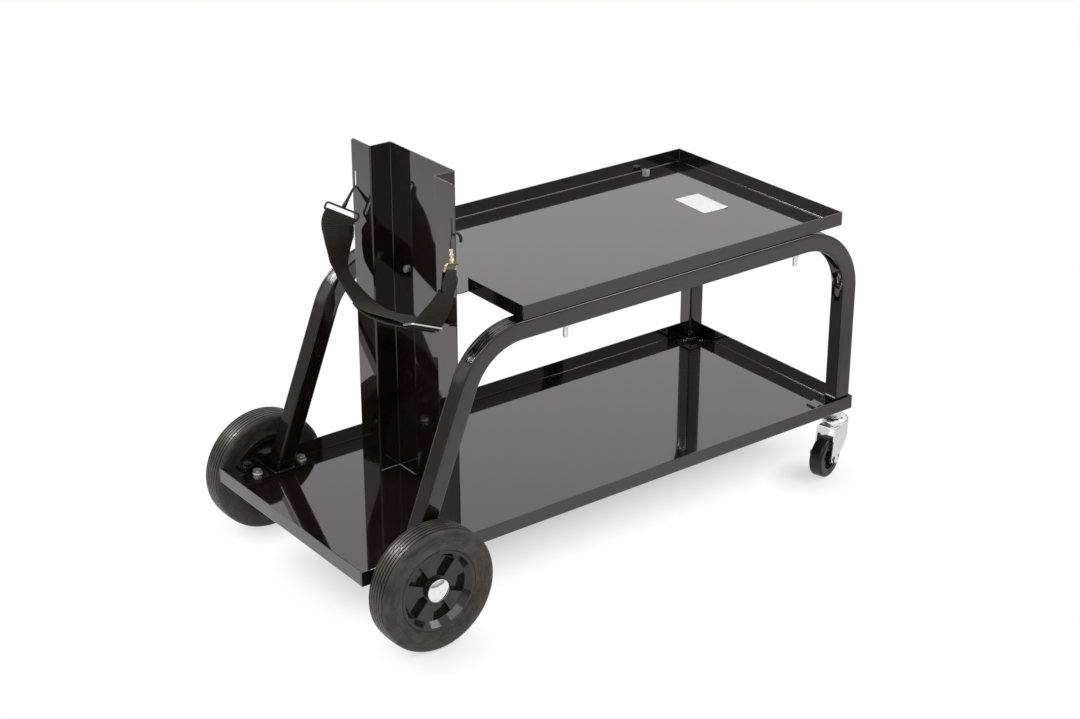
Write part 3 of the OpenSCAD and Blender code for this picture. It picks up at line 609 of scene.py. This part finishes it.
def ribbon(name, path, half, thick, material):
    """A woven band along rows of centre and width direction, with rounded selvedges and UVs in millimetres.
    Gives its length too."""
    points = 13
    centres, widths = path[:, :3], path[:, 3:6]
    runs = np.gradient(centres, axis=0)
    across = np.concatenate([np.linspace(-1, 1, points), np.linspace(1, -1, points)])
    thinner = 0.55 * np.abs(across) ** 8
    lift = np.concatenate([np.ones(points), -np.ones(points)]) * (1 - thinner)
    vertices, uvs = [], []
    length = arc_length(path)
    for centre, width, run, distance in zip(centres, widths, runs, length):
        run, width = unit(run), unit(width)
        width = unit(width - 0.8 * (width @ run) * run)
        normal = unit(np.cross(run, width))
        for a, h in zip(across, lift):
            vertices.append(centre + width * half * a + normal * h * thick / 2)
            uvs.append((a * half, distance))
    piece = make_piece(name, vertices, bar_faces(len(path), len(across)), material, uvs)
    return piece, float(length[-1])


def beside_buckle(path):
    """The row nearest the buckle, and every row's distance from it along the webbing."""
    at = int(np.argmin(np.linalg.norm(path[:, :3] - BUCKLE, axis=1)))
    length = arc_length(path)
    return at, length - length[at]


def thread_buckle(path):
    """Takes the webbing down round the buckle's middle bar, between its outer bars."""
    path = path.copy()
    at, along = beside_buckle(path)
    run = unit(path[at + 6, :3] - path[at - 6, :3])
    normal = unit(np.cross(run, path[at, 3:6]))
    dip = np.interp(along, DIP_AT, DIP, left=0, right=0)
    path[:, :3] -= dip[:, None] * normal
    return path


def add_strap(material, thread):
    """The webbing with its free end and its stitches."""
    hanging = resample(strap_rows(), WEBBING_STEP)
    path = thread_buckle(hanging)
    cloth, length = ribbon("strap_band", path, WEBBING_HALF, WEBBING_T, material)
    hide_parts("strap_webbing")
    add_strap_tail(hanging, material)
    add_stitching(path, thread)


def add_strap_tail(path, material):
    """The free end of the webbing, which runs back from the buckle under the strap."""
    at, along = beside_buckle(path)
    rows = []
    for i in range(at - 2, at - 2 - TAIL_ROWS, -2):
        run = unit(path[i + 3, :3] - path[i - 3, :3])
        normal = unit(np.cross(run, path[i, 3:6]))
        below = np.interp(-along[i], TAIL_AT, TAIL_BELOW)
        rows.append(np.concatenate([path[i, :3] - normal * below, path[i, 3:6]]))
    tail_path = resample(catmull(rows, steps=3), TAIL_STEP)
    tail, length = ribbon("strap_free_end", tail_path, TAIL_HALF, TAIL_T, material)


# The seam's half width, its start and end from the cut edge, and the stitches' pitch, start and end
SEAM_HALF, SEAM_START, SEAM_END = 21, 2.5, 30.0
STITCH_PITCH, STITCH_START, STITCH_END = 3.2, 0.4, 2.7


def add_stitching(path, material):
    """Box stitching through the doubled ends: a rectangle with a cross, in single raised stitches."""
    left, right, start, end = -SEAM_HALF, SEAM_HALF, SEAM_START, SEAM_END
    corners = [(left, start), (right, start), (right, end), (left, end),
               (left, start), (right, end), (right, start), (left, end)]
    vertices, faces = [], []
    for rows in (path, path[::-1]):
        length = arc_length(rows)
        for face in (-1, 1):
            for (a0, b0), (a1, b1) in zip(corners, corners[1:]):
                span = math.hypot(a1 - a0, b1 - b0)
                for k in range(int(span / STITCH_PITCH)):
                    ends = []
                    for reach in (k * STITCH_PITCH + STITCH_START, k * STITCH_PITCH + STITCH_END):
                        share = reach / span
                        a, b = a0 + (a1 - a0) * share, b0 + (b1 - b0) * share
                        ends.append(place_on_cloth(rows, length, a, b, face))
                    add_stitch(vertices, faces, ends)
    stitches = make_piece("strap_stitching", vertices, faces, material)


def place_on_cloth(rows, length, across, along, face):
    """A place on one face of the webbing, and the normal there."""
    row = rows_at(rows, length, [along])[0]
    i = min(len(rows) - 2, max(1, int(np.searchsorted(length, along))))
    run = unit(rows[i + 1, :3] - rows[i - 1, :3])
    width = unit(row[3:6])
    normal = unit(np.cross(run, width)) * face
    return row[:3] + width * across + normal * WEBBING_T / 2, normal


def add_stitch(vertices, faces, ends):
    """One stitch: a small rounded bar that dips into the cloth at both ends."""
    (a, normal_a), (b, normal_b) = ends
    along = b - a
    side = unit(np.cross(along, normal_a)) * 0.42
    base = len(vertices)
    for share, rise, wide in ((0, -0.15, 0.4), (0.25, 0.35, 1), (0.75, 0.35, 1), (1, -0.15, 0.4)):
        middle, normal = a + along * share, normal_a * (1 - share) + normal_b * share
        vertices.extend([middle - side * wide - normal * 0.2, middle - side * wide * 0.6 + normal * rise,
                         middle + side * wide * 0.6 + normal * rise, middle + side * wide - normal * 0.2])
    for row in range(base, base + 12, 4):
        faces.extend((row + c, row + c + 1, row + c + 5, row + c + 4) for c in range(3))
    faces.extend([(base + 3, base + 2, base + 1, base), (base + 12, base + 13, base + 14, base + 15)])


# ------------------------------------------------------------------ hooks

# The slots' distance from the middle, the curl's radius and its centre as (x, z), the angle where the tip
# begins, the most that the tip may swing, and how long the dipped part of the tip is
SLOT_Y = 129.5
HOOK_R = 11.0
HOOK_CENTRE = (-270.0, 582.0)
TIP_ANGLE = -30
TIP_SWING = 6.0
DIPPED = 0.5 * HOOK_R * math.pi
CURL_POINTS = 34
SHANK_POINTS = 26

# Side, label, the angle where the curl ends, the shank's length and its swing outwards; and the wire's radii
# at the places that add_hooks lists, from the tip to just past the curl and on along the shank
HOOKS = ((1, "left", 146.2, 31.7, 2.2), (-1, "right", 158.9, 39.4, 41.2))
TIP_RADII = [0.6, 1.9, 2.5, 2.5, WIRE_R, WIRE_R, 1.9]
SHANK_RADII = {"left": [2.6, 3.3, 3.5], "right": [2.0, 2.0, 2.0]}

# The swivel's profile, at distances from its upper end
SWIVEL_LENGTH = 23
SWIVEL_AT = [0, 0.6, 2.2, 3.6, 4.4, 6.0, 8.5, 10.6, 11.6, 13.4, 15.2, 16.4, 18.5, 20.6, 22.2, 23]
SWIVEL_RADII = [1.9, 3.3, 3.8, 3.3, 2.3, 2.2, 3.5, 3.6, 2.6, 2.3, 3.2, 3.9, 3.9, 3.2, 2.6, 2.2]


def hook_line(side, curl, shank, swing):
    """A hook's centre line, from its tip over its curl to the end of its shank. The tip hangs nearly
    upright."""
    points = []
    for angle in np.radians(np.linspace(TIP_ANGLE, curl, CURL_POINTS)):
        points.append((HOOK_CENTRE[0] + HOOK_R * math.cos(angle), HOOK_R * math.sin(angle) - HOOK_R))
    curl = math.radians(curl)
    run = np.array([-math.sin(curl), math.cos(curl)])
    corner = np.array(points[-1])
    points += [tuple(corner + run * shank * share) for share in np.linspace(0, 1, SHANK_POINTS)[1:]]
    line = []
    for i, (x, z) in enumerate(points):
        behind = x < HOOK_CENTRE[0] or i >= CURL_POINTS
        turn = math.radians(swing if behind else min(swing, TIP_SWING))
        y = side * (SLOT_Y - z * math.sin(turn))
        line.append((x, y, HOOK_CENTRE[1] + HOOK_R + z * math.cos(turn)))
    return np.array(line)


def add_hooks(wire, brass):
    """The two wire hooks: a dipped tip, a thin crown in its slot and a shank, which is thick on the left hook
    and carries a brass swivel on the right one."""
    for side, label, curl, shank, swing in HOOKS:
        line = hook_line(side, curl, shank, swing)
        length = arc_length(line)
        bend = length[CURL_POINTS - 1]
        knots = [0, 0.5, 1.6, DIPPED - 1, DIPPED + 0.6, bend, bend + 4]
        knots += [bend + shank * share for share in (0.55, 0.8)] + [bend + shank]
        radii = np.interp(length, knots, TIP_RADII + SHANK_RADII[label])
        piece = turned("strap_hook_wire_" + label, line, radii, wire)
        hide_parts("strap_hook_" + label)
        if label == "right":
            add_swivel(line, length, brass)


def add_swivel(line, length, brass):
    """A turned brass swivel round the end of a hook's shank."""
    low = np.linspace(length[-1] - SWIVEL_LENGTH, length[-1], 60)
    radii = np.interp(low - low[0], SWIVEL_AT, SWIVEL_RADII)
    swivel = turned("strap_swivel_right", rows_at(line, length, low), radii, brass, sections=20)


# ------------------------------------------------------------------ welds and painted edge highlights

# How far a weld's path runs outside the tube's faces, how far from the tube's corner it starts to turn and the
# middle point of that turn, and where the welds end: past the frame's middle, and beside the front leg
WELD_OUT = 0.6
TURN_FROM = 4
TURN_X, TURN_Y = 0.8, 2.5 / 3
WELD_END_Y = FRAME_Y + 14
FRONT_WELD_END_X = FRONT_LEG_X + 13
REAR_WELD_R = 1.6
FRONT_WELD_R = 1.0

# The distances between a weld's points and between its ripples, and how far it fades out at each end
WELD_STEP = 0.7
RIPPLE_PITCH = 2.6
WELD_FADE = 3.0


def add_weld(name, corners, thick, material):
    """A hand-laid fillet weld along a path on a plate: overlapping ripples with a slightly uneven width."""
    points = catmull(np.array(corners, float), steps=10)
    length = arc_length(points)
    count = max(8, int(length[-1] / WELD_STEP))
    even = np.linspace(0, length[-1], count)
    centres = rows_at(points, length, even)
    runs = np.gradient(centres, axis=0)
    vertices, sections = [], 12
    for s, centre, run in zip(even, centres, runs):
        run = unit(run)
        side = unit(np.cross(run, (0, 0, 1)))
        ripple = (s / RIPPLE_PITCH) % 1.0
        radius = thick * (1 + 0.15 * ripple + 0.12 * math.sin(s * 0.9) + 0.07 * math.sin(s * 2.3))
        radius *= 0.25 + 0.75 * float(smoothstep(min(s, length[-1] - s) / WELD_FADE))
        for k in range(sections):
            angle = 2 * math.pi * k / sections
            rise = np.array([0, 0, radius * 0.9 * math.sin(angle)])
            vertices.append(centre + side * radius * math.cos(angle) + rise)
    piece = make_piece(name, vertices, bar_faces(count, sections), material)


def turn_corner(x, side, towards):
    """A weld's path along one face of a tube, from its outer end, and round the inner corner. towards is 1 or
    -1, whichever way the tube's middle is from that face."""
    y_in = side * (FRAME_Y - TUBE_HALF - WELD_OUT)
    path = [(x, side * WELD_END_Y), (x, y_in + side * TURN_FROM), (x + towards * TURN_X, y_in + side * TURN_Y),
            (x + towards * TURN_FROM, y_in)]
    return [(px, py, FOOT_Z) for px, py in path]


def add_welds(material):
    """Fillets where each leg meets its foot plate: on three sides behind, on the two inner sides in front."""
    half_foot = TUBE_HALF / math.cos(RAKE)
    for side, label in SIDES:
        back = turn_corner(REAR_FOOT_X - half_foot - WELD_OUT, side, 1)
        front = turn_corner(REAR_FOOT_X + half_foot + WELD_OUT, side, -1)
        add_weld("weld_rear_" + label, back + front[::-1], REAR_WELD_R, material)
        back = turn_corner(FRONT_LEG_X - TUBE_HALF - WELD_OUT, side, 1)
        end = (FRONT_WELD_END_X, back[-1][1], FOOT_Z)
        add_weld("weld_front_" + label, back + [end], FRONT_WELD_R, material)


# The left half of the support's cut lower edge, as (x, y), and its height
SUPPORT_EDGE = [(-272.3, 84.2), (-256.0, 84.2), (-240.6, 84.2), (-238.2, 83.2), (-237.3, 80.8),
                (-237.3, 60.0), (-237.3, 41.8)]
SUPPORT_EDGE_Z = 118.6


def add_painted_edge_highlights(material):
    """Thin painted highlights along the support's cut lower edge, where the edge catches light."""
    for side, label in SIDES:
        centres = catmull(np.array([(x, side * y, SUPPORT_EDGE_Z) for x, y in SUPPORT_EDGE]), steps=8)
        uneven = 0.42 + 0.1 * np.sin(centres[:, 0] * 0.9 + centres[:, 1] * 0.55)
        # Each piece is a painted highlight along the edge
        piece = turned("support_edge_highlight_" + label, centres, uneven, material, sections=8)


# ------------------------------------------------------------------ label

LABEL_MIDDLE = np.array([338.2, 13.0, 463.0])
LABEL_SIZE = (52.0, 83.0)
LABEL_CORNER = 2.5
LABEL_T = 0.18
LABEL_TURN = math.radians(-3.1)
LABEL_COLUMNS, LABEL_ROWS = 17, 25

# The lifting corner: its height, and the share of the way to the corner where it starts and that it takes
LIFT_Z, LIFT_FROM, LIFT_OVER = 1.6, 0.78, 0.22


def label_place(column, row, layer):
    """A point of the label's grid: its place across and along the label, and its height."""
    wide, long = LABEL_SIZE
    x = -wide / 2 + wide * column / (LABEL_COLUMNS - 1)
    y = -long / 2 + long * row / (LABEL_ROWS - 1)
    over_x, over_y = abs(x) - (wide / 2 - LABEL_CORNER), abs(y) - (long / 2 - LABEL_CORNER)
    if over_x > 0 and over_y > 0:
        shrink = LABEL_CORNER / max(LABEL_CORNER, math.hypot(over_x, over_y))
        x = math.copysign(wide / 2 - LABEL_CORNER + over_x * shrink, x)
        y = math.copysign(long / 2 - LABEL_CORNER + over_y * shrink, y)
    lift = LIFT_Z * max(0.0, (x / wide - y / long) - LIFT_FROM) / LIFT_OVER
    return x, y, 0.04 + layer * LABEL_T + lift + 0.03 * math.sin(x * 0.21) * math.sin(y * 0.13)


def add_label(material):
    """A bare white label stuck on the upper tray, with round corners and one corner just lifting."""
    columns, rows = LABEL_COLUMNS, LABEL_ROWS
    cos, sin = math.cos(LABEL_TURN), math.sin(LABEL_TURN)
    vertices, faces, uvs = [], [], []
    for layer in (0, 1):
        for row in range(rows):
            for column in range(columns):
                x, y, z = label_place(column, row, layer)
                vertices.append(LABEL_MIDDLE + np.array([x * cos - y * sin, x * sin + y * cos, z]))
                uvs.append((x, y))
    top = rows * columns
    for row in range(rows - 1):
        for column in range(columns - 1):
            i = row * columns + column
            faces.append((i, i + columns, i + columns + 1, i + 1))
            faces.append((top + i, top + i + 1, top + i + columns + 1, top + i + columns))
    edge = (list(range(columns)) + [row * columns + columns - 1 for row in range(1, rows)]
            + [(rows - 1) * columns + column for column in range(columns - 2, -1, -1)]
            + [row * columns for row in range(rows - 2, 0, -1)])
    for a, b in zip(edge, edge[1:] + edge[:1]):
        faces.append((a, b, top + b, top + a))
    make_piece("blank_label", vertices, faces, material, uvs)


# ------------------------------------------------------------------ stage, light and camera

FLOOR_HALF = 30.0

# Where the floor takes the cart's real shadow: a box's centre and half size in metres, the distances from it
# over which the shadow gives way to white, and the share of white inside
SHADOWS = (((0.03, 0.0), (0.40, 0.04), (0.0, 0.13), 0.54),
           ((-0.40, 0.245), (0.0, 0.0), (0.01, 0.09), 0.56),
           ((0.43, 0.18), (0.0, 0.0), (0.01, 0.09), 0.56))


def away_from(tree, x, beside, centre, half):
    """Distance on the floor from a box of half its size round a centre."""
    over = []
    for value, middle, reach in zip((x, beside), centre, half):
        off = math_node(tree, "ABSOLUTE", minus(tree, value, middle))
        over.append(math_node(tree, "MAXIMUM", minus(tree, off, reach), 0.0))
    return diagonal(tree, *over)


def floor_white(tree, x, beside):
    """How much of the floor is plain white, from its place along the cart and beside it."""
    white = 1.0
    for centre, half, fade, darkest in SHADOWS:
        near = remap(tree, away_from(tree, x, beside, centre, half), *fade, darkest, 1.0)
        white = math_node(tree, "MINIMUM", white, near)
    return white


def floor_glow(tree, x, y, beside, path):
    """How bright the floor's white is. In reflections it is dimmer far off, and round the cart's front end it
    carries a painted shadow.
    """
    bright = remap(tree, diagonal(tree, x, y), 1.4, 4.5, 1.0, 0.3)
    # A painted shadow on the floor round the cart's front end, seen only in reflections
    front_shadow_along = remap(tree, x, 0.25, 0.85, 0.0, 0.36)
    front_shadow_beside = remap(tree, beside, 0.65, 0.95, 1.0, 0.0)
    bright = times(tree, bright, minus(tree, 1.0, times(tree, front_shadow_along, front_shadow_beside)))
    return math_node(tree, "MAXIMUM", bright, minus(tree, 1.0, path.outputs["Is Glossy Ray"]))


def add_floor():
    """A plain white floor that keeps the cart's close shadow."""
    size = FLOOR_HALF
    corners = [(-size, -size, 0), (size, -size, 0), (size, size, 0), (-size, size, 0)]
    mesh = bpy.data.meshes.new("floor")
    mesh.from_pydata(corners, [], [(0, 1, 2, 3)])
    floor = bpy.data.objects.new("floor", mesh)
    bpy.context.scene.collection.objects.link(floor)
    material, tree, _ = new_material("floor_white")
    tree.nodes.clear()
    path = add(tree, "ShaderNodeLightPath")
    seen = math_node(tree, "MAXIMUM", path.outputs["Is Camera Ray"], path.outputs["Is Glossy Ray"])
    seen = math_node(tree, "MAXIMUM", seen, path.outputs["Is Transmission Ray"])
    x, y, _ = split(tree, object_coords(tree))
    beside = math_node(tree, "ABSOLUTE", y)
    paint = add(tree, "ShaderNodeBsdfDiffuse")
    paint.inputs["Color"].default_value = (0.95, 0.95, 0.95, 1)
    glow = add(tree, "ShaderNodeEmission")
    link(tree, floor_glow(tree, x, y, beside, path), glow.inputs["Strength"])
    mix = add(tree, "ShaderNodeMixShader")
    link(tree, times(tree, seen, floor_white(tree, x, beside)), mix.inputs[0])
    link(tree, paint.outputs[0], mix.inputs[1])
    link(tree, glow.outputs[0], mix.inputs[2])
    link(tree, mix.outputs[0], add(tree, "ShaderNodeOutputMaterial").inputs["Surface"])
    mesh.materials.append(material)


def set_world():
    """White to the camera. Reflections find a bright ceiling and a dim room low down, and all else a plain
    soft light."""
    world = bpy.data.worlds.new("studio")
    bpy.context.scene.world = world
    world.use_nodes = True
    tree = world.node_tree
    tree.nodes.clear()
    path = add(tree, "ShaderNodeLightPath")
    height = split(tree, add(tree, "ShaderNodeTexCoord").outputs["Generated"])[2]
    room = remap(tree, height, 0.02, 0.36, 0.24, 0.97)
    strength = plus(tree, path.outputs["Is Camera Ray"], path.outputs["Is Transmission Ray"])
    strength = plus(tree, strength, times(tree, path.outputs["Is Glossy Ray"], room))
    strength = math_node(tree, "MAXIMUM", strength, times(tree, path.outputs["Is Diffuse Ray"], 0.5))
    background = add(tree, "ShaderNodeBackground")
    background.inputs["Color"].default_value = (1, 1, 1, 1)
    link(tree, strength, background.inputs["Strength"])
    link(tree, background.outputs[0], add(tree, "ShaderNodeOutputWorld").inputs["Surface"])


def area_light(name, place, size, power):
    """A rectangular lamp that points at the cart's middle."""
    data = bpy.data.lights.new(name, "AREA")
    data.shape = "RECTANGLE"
    data.size, data.size_y = size
    data.energy = power
    light = bpy.data.objects.new(name, data)
    light.location = place
    aim = Vector((0, 0, 0.3)) - Vector(place)
    light.rotation_euler = aim.to_track_quat("-Z", "Y").to_euler()
    bpy.context.scene.collection.objects.link(light)


def add_lights():
    """A key, a fill, and a softbox whose mirror image runs along the near rear bend."""
    area_light("key", (-1.6, -2.2, 3.2), (2.0, 2.0), 27)
    area_light("fill", (1.75, -1.3, 2.5), (1.2, 1.2), 20)
    area_light("softbox", (-1.38, 1.8, 2.0), (0.42, 0.85), 37)


def add_camera():
    """Stands where the photograph was taken from, behind and to the right of the cart."""
    data = bpy.data.cameras.new("camera")
    data.sensor_width = 36.0
    data.lens = 70.336
    data.clip_end = 100
    camera = bpy.data.objects.new("camera", data)
    camera.location = (-1.9116, -2.4903, 1.6903)
    camera.rotation_euler = (math.radians(65.67), 0, math.radians(-37.3))
    bpy.context.scene.collection.objects.link(camera)
    bpy.context.scene.camera = camera


# ------------------------------------------------------------------ everything in place

FASTENERS = ("_bolts", "_nuts", "_washers")


def finish_nodes():
    """Gives every CAD node the finish of its material slot, and small plated fasteners a duller one."""
    finishes = {
        "powder_black": powder_coat(),
        "zinc_plate": plated("zinc_plate", (0.86, 0.86, 0.86), 0.10),
        "bright_steel": plated("bright_steel", (0.80, 0.79, 0.77), 0.15),
        "tyre_rubber": tyre_rubber(),
        "rim_plastic": moulded("rim_plastic", (0.012, 0.0112, 0.0105), 0.09),
        "caster_rubber": moulded("caster_rubber", (0.0075, 0.0068, 0.006), 0.3, 1.38),
        "webbing": moulded("webbing", (0.010, 0.010, 0.008), 0.8),
        "black_wire": moulded("black_wire", (0.008, 0.008, 0.008), 0.25),
        "brass_wire": plated("brass_wire", (0.74, 0.60, 0.34), 0.2),
    }
    fastener = plated("zinc_fastener", (0.94, 0.94, 0.93), 0.28, 0.85)
    for entry in frame["record"]["subparts"]:
        mesh = frame["nodes"][entry["node"]].data
        finish = finishes[entry["material_slot"]]
        if entry["material_slot"] == "zinc_plate" and entry["node"].endswith(FASTENERS):
            finish = fastener
        mesh.materials.clear()
        mesh.materials.append(finish)
    return finishes


finishes = finish_nodes()
for side, label in SIDES:
    add_side_frame("tube_frame_" + label, "side_frame_" + label, side, finishes["powder_black"])
add_welds(finishes["powder_black"])
add_strap(woven(), finishes["black_wire"])
add_hooks(finishes["black_wire"], finishes["brass_wire"])
# The pale lines along the support's lower edge are painted highlights
add_painted_edge_highlights(painted_edge_highlight())
add_label(label_paper())
add_floor()
set_world()
add_lights()
add_camera()
bpy.context.scene.view_settings.view_transform = "Standard"
